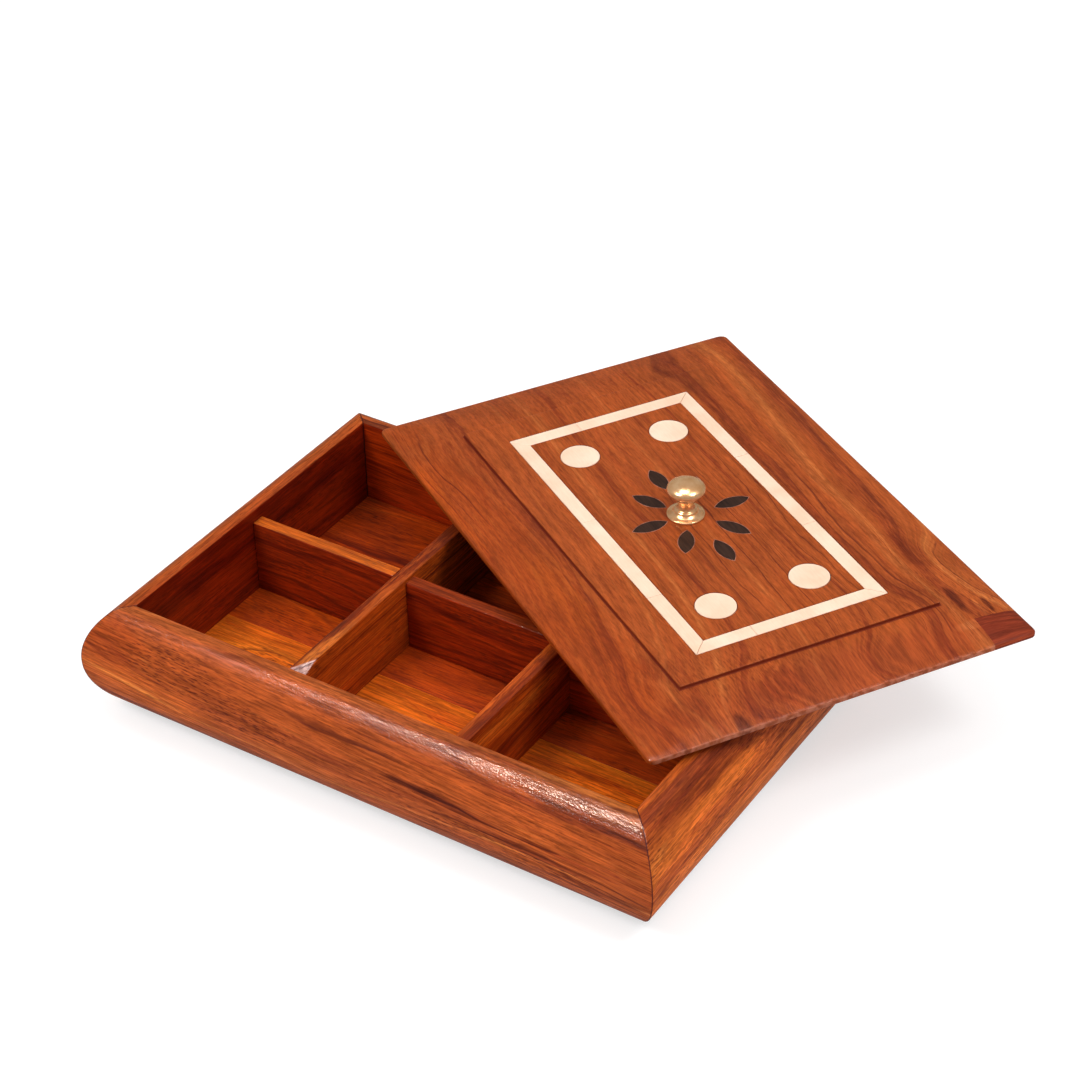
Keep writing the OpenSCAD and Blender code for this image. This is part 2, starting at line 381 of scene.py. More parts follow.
def blob_distance(g, place, centre, reach):
    """Distance from a centre, where 1 is the ellipsoid with that reach along each axis."""
    offset = g.vector("SUBTRACT", place, centre)
    return g.vector("LENGTH", g.scale(offset, *(1 / r for r in reach)))


def blobs(g, place, spots):
    """A mask with a soft ragged spot at each (centre, reach)."""
    ragged = g.times(g.noise(g.scale(place, 0.8, 2.2, 2.2), detail=3.0), 0.9)
    mask = 0.0
    for centre, reach in spots:
        distance = blob_distance(g, place, centre, reach)
        distance = g.add(distance, g.less(ragged, 0.45))
        mask = g.math("MAXIMUM", mask, g.step(distance, 1.15, 0.55))
    return mask


def knot_shift(g, place, centre, reach, push):
    """How far a knot pushes the growth bands aside: most at its middle, fading all round."""
    distance = blob_distance(g, place, centre, reach)
    return g.math("DIVIDE", push, g.add(1.0, g.math("POWER", distance, 3.0)))


def end_grain(g, turn):
    """1 where the surface cuts across the fibres, 0 along them."""
    normal = g.node("ShaderNodeTexCoord").outputs["Normal"]
    inputs = {"Vector": normal, "Rotation": turn}
    rotate = g.node("ShaderNodeVectorRotate", inputs, rotation_type="EULER_XYZ", invert=True)
    along = g.vector("DOT_PRODUCT", rotate.outputs[0], (1, 0, 0))
    return g.step(g.math("ABSOLUTE", along), 0.60, 0.92)


def facing_up(g):
    """1 on level top faces, 0 on upright ones."""
    _, _, z = g.split(g.node("ShaderNodeTexCoord").outputs["Normal"])
    return g.step(z, 0.6, 0.95)


def rail_marks(wall_shade, top_light):
    """Paints shade on the compartments' walls and light on the rim, and darkens the foot and the glued
    mitres.
    """
    def apply(g, colour):
        x, y, z = g.split(g.vector("ABSOLUTE", g.node("ShaderNodeTexCoord").outputs["Object"]))
        out_x = g.less(x, INNER_L / 2)
        out_y = g.less(y, INNER_W / 2)
        rim = g.step(z, RIM_Z - 0.6 * MM, RIM_Z - 0.2 * MM)
        outwards = g.math("MAXIMUM", out_x, out_y)
        wall = g.times(g.step(outwards, 0.4 * MM, 0.1 * MM), g.less(1.0, rim))
        mitre = g.step(g.math("ABSOLUTE", g.less(out_x, out_y)), 0.5 * MM, 0.15 * MM)
        # Painted shade on the compartments' inner walls: darker and deeper in colour.
        colour = g.tint(wall, colour, wall_shade)
        # Painted light on the rim: paler on the long rails, a little darker on the end rails.
        colour = g.tint(rim, colour, top_light)
        # The rails get darker towards their underside.
        foot = g.step(z, BASE_Z + 3.0 * MM, BASE_Z + 1.6 * MM)
        colour = g.mix(g.times(foot, 0.8), colour, GLUE_AND_FOOT_LINE)
        return g.mix(g.times(mitre, 0.8), colour, GLUE_AND_FOOT_LINE)
    return apply


def painted_top_light(top_light):
    """Paints light on the level top faces."""
    def apply(g, colour):
        return g.tint(facing_up(g), colour, top_light)
    return apply


def field_marks(g, colour):
    """Paints shade on the riser and the foot of the step round the lid's raised field, and paints a highlight
    with chipped lacquer on the lid's ends.
    """
    place = g.coordinates((0, 0, LID_TURN), LID.translation, unit=1.0)
    x, y, z = g.split(g.vector("ABSOLUTE", place))
    out_x = g.less(x, LID_L / 2 - MARGIN_W)
    out_y = g.less(y, LID_W / 2 - MARGIN_W)
    line = g.step(g.math("ABSOLUTE", g.math("MAXIMUM", out_x, out_y)), 0.65 * MM, 0.4 * MM)
    riser = g.step(z, LID_T - 0.15 * MM, LID_T - 0.35 * MM)
    # Painted shade on the step's riser and foot.
    colour = g.mix(g.times(line, riser, 0.85), colour, STEP_SHADE)
    # Painted highlight along the lid's end edges, broken up like chipped lacquer.
    end = g.step(x, LID_L / 2 - 0.5 * MM, LID_L / 2 - 0.2 * MM)
    chips = g.step(g.noise(place, scale=350.0, detail=3.0), 0.35, 0.65, 0.1, 0.45)
    return g.mix(g.times(end, chips), colour, EDGE_SHEEN_AND_WEAR)


def bent_grain(g, log, swirl):
    """Places in the log, shifted by sweeps of that many centimetres and by smaller waves."""
    bent = log
    for scales, amount in (((0.07, 0.26, 0.26), swirl), ((0.35, 1.3, 1.3), 0.13), ((1.1, 8.0, 8.0), 0.035)):
        bent = g.vector("ADD", bent, wander(g, log, scales, amount))
    return bent


def growth(g, place, log, bent, pith, bands, tone, knots):
    """Colour of the growth bands round the pith, and the distance from it that draws them."""
    from_pith = g.vector("SUBTRACT", bent, (0, pith[0], pith[1]))
    radius = g.vector("LENGTH", g.scale(from_pith, 0, 1, 1))
    for centre, reach, push in knots:
        radius = g.add(radius, knot_shift(g, place, centre, reach, push))
    band = g.line_noise(radius, bands, detail=7.0, roughness=0.68)
    streak = g.noise(g.scale(log, 0.25, 5, 5), detail=4.0, roughness=0.65)
    mixed = g.add(g.times(band, 0.75), g.times(streak, 0.25))
    colour = g.ramp(mixed, [
        (0.30, tone["vein"]),
        (0.40, tone["dark"]),
        (0.48, tone["main"]),
        (0.55, tone["main"]),
        (0.68, tone["pale"]),
    ])
    return colour, radius


def fine_light(g, log, radius, fibre, bands, grain):
    """Brightness of the fibres, of soft clouds and of fine growth rings."""
    cloud = g.noise(g.scale(log, 0.3, 0.8, 0.8), detail=3.0, roughness=0.6)
    rings = g.line_noise(g.add(radius, 13.1), bands * 8, detail=3.0, roughness=0.65)
    return g.times(
        g.step(fibre, 0.36, 0.64, 1 - 0.45 * grain, 1 + 0.38 * grain),
        g.step(cloud, 0.25, 0.75, 0.84, 1.14),
        g.step(rings, 0.30, 0.70, 0.86, 1.12),
    )


def vein_mask(g, place, log, radius, fibre, bands, width, zones):
    """Thin lines along the growth rings, in the zones, or here and there where there are none."""
    uneven = g.times(g.line_noise(g.add(radius, 31.7), bands * 1.1, detail=3.0), 3.0)
    line = g.math("PINGPONG", g.add(g.times(radius, bands * 3.0), uneven), 0.5)
    if zones:
        zone = blobs(g, place, zones)
    else:
        zone = g.step(g.noise(g.scale(log, 0.13, 0.4, 0.4)), 0.42, 0.60)
    return g.times(g.step(line, width, width / 5), zone, g.step(fibre, 0.30, 0.60, 0.5, 1.0))


def fleck_masks(g, place, log, bent, fibre, pore, zones):
    """Short dashes along the grain, mostly in the zones if there are any, and specks of open pores."""
    dash = g.step(g.cells(g.scale(bent, 2.0, 10, 10)), 0.50, 0.20)
    dash = g.times(dash, g.step(fibre, 0.62, 0.44, 0.35, 1.0))
    zone = g.step(g.noise(g.scale(log, 0.22, 0.7, 0.7)), 0.46, 0.62, 0.12, 1.0)
    if zones:
        zone = g.math("MAXIMUM", blobs(g, place, zones), g.times(zone, 0.3))
    speck = g.times(pore, g.add(0.35, g.times(zone, 0.65)))
    return g.times(dash, zone), speck


def lacquer(g, log, fibre, pore, roughness, coat, peel, gloss):
    """Satin wood under a thin coat with an uneven skin, broken at the pores."""
    smudge = g.noise(g.scale(log, 0.35, 0.5, 0.5), detail=3.0)
    height = g.less(g.times(fibre, 0.6), g.times(pore, 0.5))
    skin = g.add(g.times(fibre, 0.4), g.cells(g.scale(log, 12, 21, 21)))
    weight = g.step(fibre, 0.42, 0.55, 0.25 * coat, coat)
    g.set(
        Roughness=g.step(smudge, 0.3, 0.7, roughness - 0.05, roughness + 0.08),
        Normal=g.bump(height, 0.1 * MM, 0.6),
        Coat_Normal=g.bump(skin, peel * MM),
        Coat_Weight=g.less(weight, g.times(pore, 0.3 * coat)),
        Coat_Roughness=gloss,
        Coat_IOR=1.5,
        IOR=1.5,
        Specular_IOR_Level=0.06,
    )


def wood(name, turn=(0, 0, 0), origin=(0, 0, 0), seed=(0, 0, 0), tones=None, pith=(3.0, -7.0), bands=1.1,
         swirl=0.8, veins=0.6, vein_width=0.16, flecks=0.6, grain=0.7, run=0.7, figure=None, roughness=0.5,
         coat=0.35, peel=0.08, gloss=0.08, marks=None):
    """Lacquered sheesham: growth bands round a pith, dark veins, fibres, pores and a thin gloss.

    Lengths are in centimetres from the origin, X along the grain. The figure holds knots as (centre, reach,
    push), zones of veins and flecks and dark and pale spots as (centre, reach), and tints as (centre, reach,
    rgb). Without zones of their own, veins and flecks come and go at random."""
    tone = {key: srgb(*rgb) for key, rgb in dict(TONES, **(tones or {})).items()}
    shape = dict(NO_FIGURE, **(figure or {}))
    g = Graph(name)
    place = g.coordinates(turn, origin)
    log = g.vector("ADD", place, seed)
    bent = bent_grain(g, log, swirl)
    centred = g.vector("SUBTRACT", bent, seed)
    colour, radius = growth(g, place, log, centred, pith, bands, tone, shape["knots"])

    fibre = g.noise(g.scale(log, run, 14, 14), detail=3.0, roughness=0.70)
    pore = g.step(g.cells(g.scale(log, 2.6, 13, 13)), 0.40, 0.15)
    colour = g.mix(1.0, colour, g.grey(fine_light(g, log, radius, fibre, bands, grain)), "MULTIPLY")
    vein = vein_mask(g, place, log, radius, fibre, bands, vein_width, shape["veins"])
    colour = g.mix(g.times(vein, veins), colour, tone["vein"])
    dash, speck = fleck_masks(g, place, log, bent, fibre, pore, shape["flecks"])
    colour = g.mix(g.times(dash, flecks), colour, tone["vein"])
    colour = g.mix(g.times(speck, 0.8 * grain), colour, tone["pore"])

    for spots, rgb in ((shape["dark"], DARK_SPOT), (shape["pale"], PALE_SPOT)):
        if spots:
            colour = g.tint(blobs(g, place, spots), colour, rgb)
    for centre, reach, rgb in shape["tints"]:
        colour = g.tint(blobs(g, place, [(centre, reach)]), colour, rgb)
    colour = g.mix(g.times(end_grain(g, turn), 0.5), colour, tone["vein"])
    if marks:
        colour = marks(g, colour)
    g.set(Base_Color=colour)
    lacquer(g, log, fibre, pore, roughness, coat, peel, gloss)
    return g.material


def pale_inlay():
    """Cream inlay: faint cloudy tone and grain, sanded flush under lacquer."""
    g = Graph("pale_inlay")
    place = g.coordinates((0, 0, LID_TURN))
    cloud = g.noise(g.scale(place, 0.8, 0.8, 0.8), detail=3.0)
    grain = g.noise(g.scale(place, 2.5, 22, 22))
    value = g.add(g.times(cloud, 0.7), g.times(grain, 0.3))
    g.set(
        Base_Color=g.ramp(value, [(0.35, srgb(238, 198, 168)), (0.65, srgb(248, 216, 190))]),
        Roughness=g.step(cloud, 0.3, 0.7, 0.36, 0.46),
        Normal=g.bump(grain, 0.02 * MM, 0.4),
        Coat_Weight=0.3,
        Coat_Roughness=0.2,
        Specular_IOR_Level=0.4,
    )
    return g.material


def filler():
    """Pinkish filler, a little dirty."""
    g = Graph("filler")
    cloud = g.noise(g.coordinates((0, 0, LID_TURN)), scale=3.0, detail=3.0)
    g.set(
        Base_Color=g.ramp(cloud, [(0.35, srgb(118, 60, 42)), (0.65, srgb(172, 106, 80))]),
        Roughness=g.step(cloud, 0.3, 0.7, 0.5, 0.6),
        Specular_IOR_Level=0.2,
    )
    return g.material


def dark_inlay():
    """Near-black inlay with a brown cast and faint streaks."""
    g = Graph("dark_inlay")
    place = g.coordinates((0, 0, LID_TURN))
    streak = g.noise(g.scale(place, 1.5, 14, 14), detail=3.0)
    g.set(
        Base_Color=g.ramp(streak, [(0.35, srgb(44, 26, 18)), (0.7, srgb(62, 39, 28))]),
        Roughness=g.step(streak, 0.3, 0.7, 0.38, 0.50),
        Normal=g.bump(streak, 0.02 * MM, 0.4),
        Coat_Weight=0.05,
        Coat_Roughness=0.25,
        Specular_IOR_Level=0.12,
    )
    return g.material


def metal(name, low, high, roughness, axis, metallic=1.0):
    """Turned metal: fine rings of tool marks about an upright axis, and a little tarnish."""
    g = Graph(name)
    place = g.coordinates(offset=axis, unit=0.001)
    rings = g.noise(g.scale(place, 0.12, 0.12, 6.0))
    tarnish = g.noise(g.scale(place, 0.25, 0.25, 0.25), detail=4.0)
    g.set(
        Base_Color=g.ramp(tarnish, [(0.35, low), (0.65, high)]),
        Roughness=g.step(tarnish, 0.3, 0.7, roughness + 0.06, roughness - 0.03),
        Normal=g.bump(rings, 0.01 * MM, 0.5),
        Metallic=metallic,
    )
    return g.material


# ---- rails


def arc_s(z):
    """How far the outer face stands out at height z."""
    radius = UPPER_R if z > WIDEST_Z else LOWER_R
    return BULGE - radius + math.sqrt(radius ** 2 - (z - WIDEST_Z) ** 2)


def unevenness(place):
    """Smooth random value from 0 to 1."""
    return 0.5 + 0.5 * noise.noise(Vector(place))


def rail_section():
    """The rail's section as (out, up) points: inner face, rim, outer face and underside."""
    inner_ease, rim_ease, foot_ease = 0.7 * MM, 1.6 * MM, 0.8 * MM
    top, foot = arc_s(RIM_Z), arc_s(BASE_Z)
    points = bend((0, BASE_Z + foot_ease), (0, BASE_Z), (foot_ease, BASE_Z), 2)
    points.reverse()
    points += bend((0, RIM_Z - inner_ease), (0, RIM_Z), (inner_ease, RIM_Z), 5)
    after_rim = RIM_Z - rim_ease
    points += bend((top - rim_ease, RIM_Z), (top, RIM_Z), (arc_s(after_rim), after_rim), 6)
    steps = 44
    before_foot = BASE_Z + foot_ease
    for i in range(1, steps):
        z = after_rim + (before_foot - after_rim) * i / steps
        points.append(Vector((arc_s(z), z)))
    points += bend((arc_s(before_foot), before_foot), (foot, BASE_Z), (foot - foot_ease, BASE_Z), 3)
    return points


def rail(name, length, reach, turn, material, seed):
    """A mitred rail. Its faces wander by a hair, and a fine groove shows at each mitre."""
    groove, near = 0.22 * MM, 0.35 * MM
    section = rail_section()
    centre = Vector((BULGE / 2, (RIM_Z + BASE_Z) / 2))
    half = length / 2
    steps = 130
    stations = [(-1, 0.0, True), (-1, near, False)]
    stations += [(None, i / steps, False) for i in range(1, steps)]
    stations += [(1, near, False), (1, 0.0, True)]
    bm = bmesh.new()
    rings = []
    rotation = Matrix.Rotation(turn, 3, "Z")
    for side, value, shrunk in stations:
        ring = []
        for out, up in section:
            if side is None:
                x = (half + out - near) * (2 * value - 1)
            else:
                x = side * (half + out - value)
            s, z = out, up
            if shrunk:
                inward = (centre - Vector((s, z))).normalized() * groove
                s, z = s + inward.x, z + inward.y
            drift = RAIL_DRIFT * unevenness((x * 28, seed, z * 60))
            dip = RIM_DIP * unevenness((x * 16, seed + 9, 0))
            if out > 1 * MM:
                s -= drift
            if up > RIM_Z - RIM_FADE:
                z -= dip * (up - RIM_Z + RIM_FADE) / RIM_FADE
            ring.append(bm.verts.new(rotation @ Vector((x, reach + s, z))))
        rings.append(ring)
    bridge(bm, rings)
    bm.faces.new(rings[0])
    bm.faces.new(rings[-1])
    finish_mesh(name + "_body", bm, "box", [name], material, 40)


# ---- boards


def board(name, body, materials, corners=None, ease=0.5 * MM, amount=0.12 * MM, seed=1.0, edit=None,
          matrix=None):
    """A board with eased arrises and a slightly uneven surface, in its node's box or between two corners."""
    lo, hi = (Vector(corner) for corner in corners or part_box(name))
    bm = bmesh.new()
    bmesh.ops.create_cube(bm, size=1.0)
    bmesh.ops.scale(bm, vec=hi - lo, verts=bm.verts)
    bmesh.ops.translate(bm, vec=(lo + hi) / 2, verts=bm.verts)
    if edit:
        edit(bm)
    bmesh.ops.bevel(bm, geom=list(bm.edges), offset=ease, segments=3, profile=0.5, affect="EDGES")
    for axis in (0, 1):
        count = int((hi[axis] - lo[axis]) / BOARD_CELL)
        for i in range(1, count):
            point = lo.copy()
            point[axis] += (hi[axis] - lo[axis]) * i / count
            halve(bm, point, Vector((axis == 0, axis == 1, 0)))
    bm.normal_update()
    wobble(bm, BOARD_WAVE, amount, seed)
    finish_mesh(name + "_body", bm, body, [name], materials, 50, matrix)


def planed_corner(bm):
    """Planes the front corner off the left long divider's right-hand top edge."""
    lo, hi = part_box("long_divider_left")
    run, tilt, turn = 16.2 * MM, math.radians(39.3), math.radians(-28.5)
    point = Vector((hi.x, lo.y + run, hi.z))
    normal = Euler((0, tilt, turn)).to_matrix() @ Vector((0, 0, 1))
    cut = halve(bm, point, normal, clear_outer=True)
    edges = [e for e in cut["geom_cut"] if isinstance(e, bmesh.types.BMEdge)]
    made = bmesh.ops.contextual_create(bm, geom=edges)
    for face in made["faces"]:
        face.material_index = 1


# ---- lid


def rounded_ring(half_l, half_w, radius, z):
    """Points of a rounded rectangle, the same number for every size."""
    arc_steps, side_steps = 6, 26
    points = []
    corners = [(1, 1, 0), (-1, 1, 90), (-1, -1, 180), (1, -1, 270)]
    arcs = []
    for sx, sy, start in corners:
        centre = Vector((sx * (half_l - radius), sy * (half_w - radius), z))
        arc = []
        for i in range(arc_steps + 1):
            angle = math.radians(start + 90 * i / arc_steps)
            arc.append(centre + Vector((math.cos(angle), math.sin(angle), 0)) * radius)
        arcs.append(arc)
    for i, arc in enumerate(arcs):
        points += arc
        following = arcs[(i + 1) % 4][0]
        for k in range(1, side_steps):
            points.append(arc[-1].lerp(following, k / side_steps))
    return points


def lid_section():
    """The lid's edge as (in from the edge, up) points, from the underside to the raised field."""
    shoulder = LID_T - STEP_H
    drop = shoulder - EDGE_T
    radius = (MARGIN_W ** 2 + drop ** 2) / (2 * drop)

    def margin_z(d):
        return shoulder - radius + math.sqrt(radius ** 2 - (MARGIN_W - d) ** 2)

    foot, arris, field_ease, cove = 0.5 * MM, 0.8 * MM, 0.2 * MM, 0.15 * MM
    points = [Vector((3 * MM, 0))]
    points += bend((foot, 0), (0, 0), (0, foot), 3)
    points += bend((0, EDGE_T - arris), (0, EDGE_T), (1.6 * arris, margin_z(1.6 * arris)), 5)
    steps = 20
    for i in range(1, steps):
        d = 1.6 * arris + (MARGIN_W - cove - 1.6 * arris) * i / steps
        points.append(Vector((d, margin_z(d))))
    points += bend((MARGIN_W - cove, shoulder), (MARGIN_W, shoulder), (MARGIN_W, shoulder + cove), 3)
    points += bend((MARGIN_W, LID_T - field_ease), (MARGIN_W, LID_T), (MARGIN_W + field_ease, LID_T), 4)
    points.append(Vector((MARGIN_W + 2.5 * MM, LID_T)))
    return points


def panel_blank():
    """The fielded panel before anything is let into it, in the lid's own frame."""
    bm = bmesh.new()
    rings = []
    for inward, up in lid_section():
        part = min(inward / MARGIN_W, 1.0)
        radius = max(CORNER_R * (1 - part), 0.25 * MM) + HIP_R * math.sin(math.pi * part)
        ring = []
        for point in rounded_ring(LID_L / 2 - inward, LID_W / 2 - inward, radius, up):
            if 0.2 * MM < inward < MARGIN_W - 1 * MM and up > EDGE_T / 2:
                point.z -= MARGIN_DIP * unevenness((point.x * 22, point.y * 22, 3.3))
            ring.append(bm.verts.new(point))
        rings.append(ring)
    bridge(bm, rings)
    bm.faces.new(rings[0])
    bm.faces.new(rings[-1])
    return bm


def prism(bm, outline, low, high):
    """Adds a closed prism over an outline of (x, y) points."""
    below = [bm.verts.new((x, y, low)) for x, y in outline]
    above = [bm.verts.new((x, y, high)) for x, y in outline]
    bridge(bm, [below, above])
    bm.faces.new(below)
    bm.faces.new(above)


def strip_outline(node):
    """The four top corners of a strip in the lid's own frame, in order."""
    points = lid_points(node)
    top = span(points, 2)[1]
    corners = []
    for p in points:
        new = all((p.xy - q).length > 0.2 * MM for q in corners)
        if abs(p.z - top) < 0.05 * MM and new:
            corners.append(p.xy)
    centre = sum(corners, Vector((0, 0))) / len(corners)
    return sorted(corners, key=lambda q: math.atan2(q.y - centre.y, q.x - centre.x))


def disc_outline(node, grow):
    """Points round a disc that is larger than its node by that much all round."""
    points = lid_points(node)
    (x0, x1), (y0, y1) = span(points, 0), span(points, 1)
    return circle((x0 + x1) / 2, (y0 + y1) / 2, (x1 - x0) / 2 + grow, 72)


def petal_outline(node, grow, steps=14):
    """Two equal arcs from tip to tip. The tips are the node's two points that lie furthest apart."""
    flat = [p.xy for p in lid_points(node)]
    first = max(flat, key=lambda p: (p - flat[0]).length)
    second = max(flat, key=lambda p: (p - first).length)
    centre = (first + second) / 2
    along = (second - first).normalized()
    across = Vector((-along.y, along.x))
    half_l = (second - first).length / 2 + 1.5 * grow
    half_w = max(abs((p - centre).dot(across)) for p in flat) + grow
    radius = (half_l ** 2 + half_w ** 2) / (2 * half_w)
    opening = math.asin(half_l / radius)
    outline = []
    for side in (1, -1):
        for i in range(steps):
            a = opening * (1 - 2 * i / steps) * side
            height = (radius * math.cos(a) - (radius - half_w)) * side
            outline.append(centre + along * radius * math.sin(a) + across * height)
    return outline


def shrink(outline, gap):
    """Moves every side of a convex outline inwards by that gap."""
    centre = sum(outline, Vector((0, 0))) / len(outline)
    shrunk = []
    for i, point in enumerate(outline):
        normals = []
        for a, b in ((outline[i - 1], point), (point, outline[(i + 1) % len(outline)])):
            side = (b - a).normalized()
            normal = Vector((-side.y, side.x))
            normals.append(normal if normal.dot(centre - a) > 0 else -normal)
        first, second = normals
        shrunk.append(point + (first + second) * gap / (1 + first.dot(second)))
    return shrunk


def petal_filler(material):
    """The thin line of filler that shows round every petal."""
    bm = bmesh.new()
    top = LID_T - 0.02 * MM
    for node in PETALS:
        rings = []
        for grow, z in ((FILLER_IN, INLAY_Z), (FILLER_IN, top), (FILLER_OUT, top), (FILLER_OUT, INLAY_Z)):
            rings.append([bm.verts.new((p.x, p.y, z)) for p in petal_outline(node, grow)])
        bridge(bm, rings + rings[:1])
    finish_mesh("petal_filler", bm, "lid", [], material, 30, LID)


def inlay(node, outline, material):
    """A piece of inlay with a hair of an arris round its top."""
    bm = bmesh.new()
    prism(bm, outline, INLAY_Z, LID_T)
    bmesh.ops.recalc_face_normals(bm, faces=bm.faces)
    top = [e for e in bm.edges if all(abs(v.co.z - LID_T) < 1e-7 for v in e.verts)]
    bmesh.ops.bevel(bm, geom=top, offset=0.05 * MM, segments=1, affect="EDGES")
    finish_mesh(node + "_piece", bm, "lid", [node], material, 30, LID)


def pocket_cutter():
    """One cutter for every pocket: the band of strips, the discs and the petals."""
    low, high = INLAY_Z, LID_T + 2 * MM
    corners = [q for n in STRIPS for q in strip_outline(n)]
    half_l = max(q.x for q in corners) + INLAY_GAP
    half_w = max(q.y for q in corners) + INLAY_GAP
    far = strip_outline(STRIPS[0])
    strip_w = max(q.y for q in far) - min(q.y for q in far) + 2 * INLAY_GAP
    bm = bmesh.new()
    rings = []
    for inward, z in ((0, low), (0, high), (strip_w, high), (strip_w, low)):
        l, w = half_l - inward, half_w - inward
        rings.append([bm.verts.new((x, y, z)) for x, y in ((-l, -w), (l, -w), (l, w), (-l, w))])
    bridge(bm, rings + rings[:1])
    for node in DISCS:
        prism(bm, disc_outline(node, INLAY_GAP), low, high)
    for node in PETALS:
        prism(bm, petal_outline(node, FILLER_OUT + 0.02 * MM), low, high)
    return scratch("pocket_cutter", bm)


def patch_cutter():
    """A block over the corner patch that reaches past the lid's edges."""
    points = lid_points("lid_corner_patch")
    (x0, x1), (y0, y1) = span(points, 0), span(points, 1)
    bm = bmesh.new()
    clear = 3 * MM
    outline = [(x0, y0), (x1 + clear, y0), (x1 + clear, y1 + clear), (x0, y1 + clear)]
    prism(bm, outline, -clear, LID_T + clear)
    return scratch("patch_cutter", bm)


def lid_pieces(lid_wood, patch_wood):
    """The panel with its pockets, and its corner patch, both cut from one blank."""
    blank = scratch("panel_blank", panel_blank())
    pockets, patch = pocket_cutter(), patch_cutter()
    patch_mesh = boolean(blank, patch, "INTERSECT")
    blank.data = boolean(blank, patch, "DIFFERENCE")
    panel_mesh = boolean(blank, pockets, "DIFFERENCE")
    for node, mesh, slot, material in (
        ("lid_panel", panel_mesh, "lid_wood", lid_wood),
        ("lid_corner_patch", patch_mesh, "patch_wood", patch_wood),
    ):
        bm = bmesh.new()
        bm.from_mesh(mesh)
        finish_mesh(node + "_body", bm, "lid", [node], material, 30, LID)
    for thing in (blank, pockets, patch):
        bpy.data.objects.remove(thing)


# ---- knob


def knob_section():
    """Half section of the knob as (radius, height) points from its foot to its crown."""
    lo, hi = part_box("knob")
    height = hi.z - lo.z
    head = (hi.x - lo.x) / 2
    foot = head - 0.1 * MM
    head_h, stem, collar = 7.0 * MM, 3.4 * MM, 4.7 * MM
    points = [Vector((foot - 0.5 * MM, 0))]
    points += bend((foot - 0.3 * MM, 0), (foot, 0), (foot, 0.35 * MM), 3)
    points += bend((foot, 0.5 * MM), (foot, 0.95 * MM), (foot - 0.6 * MM, 0.95 * MM), 4)
    points += bend((foot - 0.9 * MM, 0.85 * MM), (collar + 1.0 * MM, 0.8 * MM), (collar, 1.9 * MM), 8)
    points += bend((collar, 2.0 * MM), (collar, 2.9 * MM), (stem + 0.5 * MM, 3.1 * MM), 5)
    points += bend((stem + 0.3 * MM, 3.2 * MM), (stem - 0.5 * MM, 4.6 * MM), (stem, 6.2 * MM), 8)
    bead = 0.62 * MM
    bead_z = height - head_h - 0.5 * MM
    for i in range(9):
        a = -math.pi / 2 + math.pi * i / 8
        points.append(Vector((stem + 0.25 * MM + bead * math.cos(a), bead_z + bead * math.sin(a))))
    centre = height - head_h / 2
    start = -math.acos((stem + 0.35 * MM) / head)
    steps = 30
    for i in range(steps):
        a = start + (math.pi / 2 - start) * i / steps
        points.append(Vector((head * math.cos(a), centre + head_h / 2 * math.sin(a))))
    return points


def knob(material):
    """The turned knob: its section spun round the middle of its node."""
    lo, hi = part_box("knob")
    centre = middle("knob")
    segments = 96
    bm = bmesh.new()
    rings = []
    for radius, up in knob_section():
        points = circle(centre.x, centre.y, radius, segments)
        rings.append([bm.verts.new((x, y, lo.z + up)) for x, y in points])
    bridge(bm, rings)
    bm.faces.new(rings[0])
    crown = bm.verts.new((centre.x, centre.y, hi.z))
    for i in range(segments):
        bm.faces.new((rings[-1][i], rings[-1][(i + 1) % segments], crown))
    finish_mesh("knob_body", bm, "lid", ["knob"], material, 40)


# ---- the pieces

# Where the photo shows the main features of the grain, with some tints of painted light and shade: see wood()
LONG_RAIL_FIGURE = {
    "knots": [
        ((-7.0, -8.6, 2.6), (3.4, 1.4, 1.3), 0.6),
        ((-1.5, -8.6, 1.6), (2.2, 0.9, 0.8), 0.6),
        ((8.0, -8.6, 1.0), (3.0, 0.9, 0.8), -0.4),
    ],
    "veins": [
        ((0.0, -8.6, 3.5), (4.0, 2.0, 0.55)),
        ((6.0, -8.6, 2.9), (4.5, 2.0, 0.75)),
        ((10.5, -8.6, 2.3), (3.0, 2.0, 0.9)),
        ((-4.0, 7.6, 4.0), (10.0, 2.0, 2.0)),
    ],
    "flecks": [
        ((-8.5, -8.6, 3.2), (2.6, 3.0, 1.0)),
        ((-5.2, -8.6, 2.6), (3.0, 3.0, 0.8)),
        ((6.0, -8.6, 2.2), (5.0, 3.0, 0.8)),
    ],
    "dark": [((2.4, -8.6, 3.2), (1.5, 0.7, 0.2))],
    "tints": [
        ((-6.4, -8.8, 2.8), (4.2, 1.4, 0.5), (0.92, 0.88, 0.78)),
        ((3.9, -8.6, 3.15), (2.8, 1.2, 0.20), (0.62, 0.50, 0.46)),
        ((7.4, -8.8, 2.75), (3.0, 1.2, 0.20), (0.58, 0.46, 0.42)),
        ((10.4, -8.8, 2.3), (2.2, 1.2, 0.22), (0.58, 0.46, 0.42)),
        ((9.0, -8.8, 3.2), (2.4, 1.2, 0.12), (0.66, 0.54, 0.50)),
        ((-2.4, -8.8, 1.8), (2.6, 1.2, 0.45), (1.1, 1.2, 1.1)),
        ((-9.6, -8.8, 1.7), (3.4, 1.6, 1.1), (1.30, 1.38, 1.08)),
        ((8.8, -8.8, 2.4), (3.6, 1.6, 1.5), (1.20, 1.24, 1.08)),
        ((9.4, -8.4, 4.75), (3.2, 1.0, 0.10), (0.55, 0.45, 0.42)),
        # Painted highlight on the rim's right end.
        ((9.2, -7.9, 5.2), (4.0, 0.9, 0.25), (1.1, 1.35, 1.4)),
        ((-11.4, -8.7, 3.2), (1.6, 2.0, 0.9), (0.90, 0.78, 0.60)),
    ],
}
